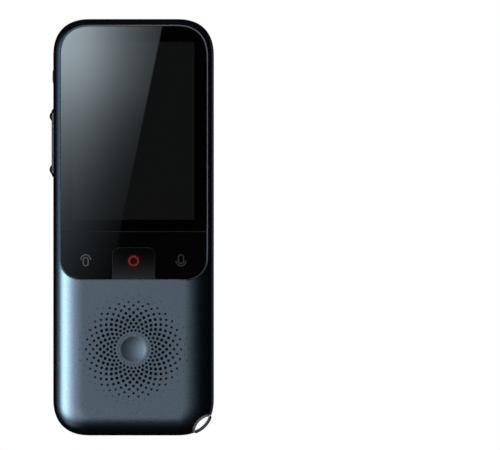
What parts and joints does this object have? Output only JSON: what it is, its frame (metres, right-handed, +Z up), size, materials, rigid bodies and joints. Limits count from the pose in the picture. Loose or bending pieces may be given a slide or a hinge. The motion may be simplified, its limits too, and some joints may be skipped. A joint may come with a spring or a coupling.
{
  "type": "handheld translator",
  "caption": "Handheld translator: flat display over a rocking talk key and a record key, speaker grille, side keys, rear camera bump, socket and lanyard corner.",
  "frame": {"origin": "middle of the foot, on the plane it stands on, under the middle of the housing", "axes": "+Z up along the height, +X to the right as seen from the front, -Y out of the front face"},
  "size_m": [0.0532, 0.0133, 0.1348],
  "materials": {
    "housing_paint": "satin blue-grey metallic paint",
    "black_glass": "gloss, black printed behind",
    "lens_glass": "gloss, coated",
    "black_tape": "matte",
    "foam": "matte",
    "display": "gloss",
    "sheet_steel": "satin",
    "flex_film": "satin",
    "gloss_keys": "gloss",
    "red_light": "gloss, lit from behind",
    "green_board": "satin solder mask",
    "gilt_contacts": "polished",
    "side_keys": "satin",
    "dark_metal": "satin",
    "bright_trim": "polished",
    "black_moulding": "matte",
    "flash_window": "clear, frosted",
    "phosphor": "matte",
    "cast_frame": "as cast",
    "battery_foil": "matte foil",
    "dust_cloth": "woven",
    "cone_paper": "matte"
  },
  "bodies": {
    "housing": {"front_cover": "housing_paint", "rear_cover": "housing_paint", "speaker_grille": "housing_paint", "touch_glass": "black_glass", "glass_tape": "black_tape", "display_panel": "display", "display_frame": "sheet_steel", "display_flex": "flex_film", "talk_key_pin": "sheet_steel", "key_board": "green_board", "key_domes": "gilt_contacts", "side_key_board": "sheet_steel", "side_switches": "gilt_contacts", "lanyard_bar": "dark_metal", "camera_trim": "bright_trim", "camera_window": "black_glass", "camera_ring": "bright_trim", "camera_lens": "lens_glass", "camera_module": "black_moulding", "flash_diffuser": "flash_window", "flash_led": "phosphor", "mid_frame": "cast_frame", "main_board": "green_board", "shield_can": "sheet_steel", "battery": "battery_foil", "battery_tape": "black_tape", "speaker_gasket": "foam", "dust_mesh": "dust_cloth", "speaker_frame": "black_moulding", "speaker_cone": "cone_paper", "speaker_magnet": "sheet_steel", "sub_board": "green_board", "usb_shell": "sheet_steel", "usb_tongue": "black_moulding", "microphones": "gilt_contacts", "antenna": "flex_film", "frame_screws": "sheet_steel"},
    "talk_key": {"talk_key": "gloss_keys"},
    "record_key": {"record_key": "gloss_keys", "record_ring": "red_light"},
    "volume_rocker": {"volume_rocker": "side_keys"},
    "power_key": {"power_key": "side_keys"}
  },
  "joints": [
    {"name": "talk_key_rock", "type": "hinge", "parent": "housing", "child": "talk_key", "pos_m": [0, -0.0033, 0.0635], "axis": [0, 0, 1], "range_deg": [-1, 1], "stiffness_Nm_per_rad": 0.6},
    {"name": "record_key_press", "type": "slide", "parent": "housing", "child": "record_key", "axis": [0, 1, 0], "range_m": [0, 0.00035], "stiffness_N_per_m": 2000},
    {"name": "volume_rock", "type": "hinge", "parent": "housing", "child": "volume_rocker", "pos_m": [-0.0239, 0, 0.0947], "axis": [0, 1, 0], "range_deg": [-1.5, 1.5], "stiffness_Nm_per_rad": 0.3},
    {"name": "power_key_press", "type": "slide", "parent": "housing", "child": "power_key", "axis": [1, 0, 0], "range_m": [0, 0.00025], "stiffness_N_per_m": 3000}
  ]
}
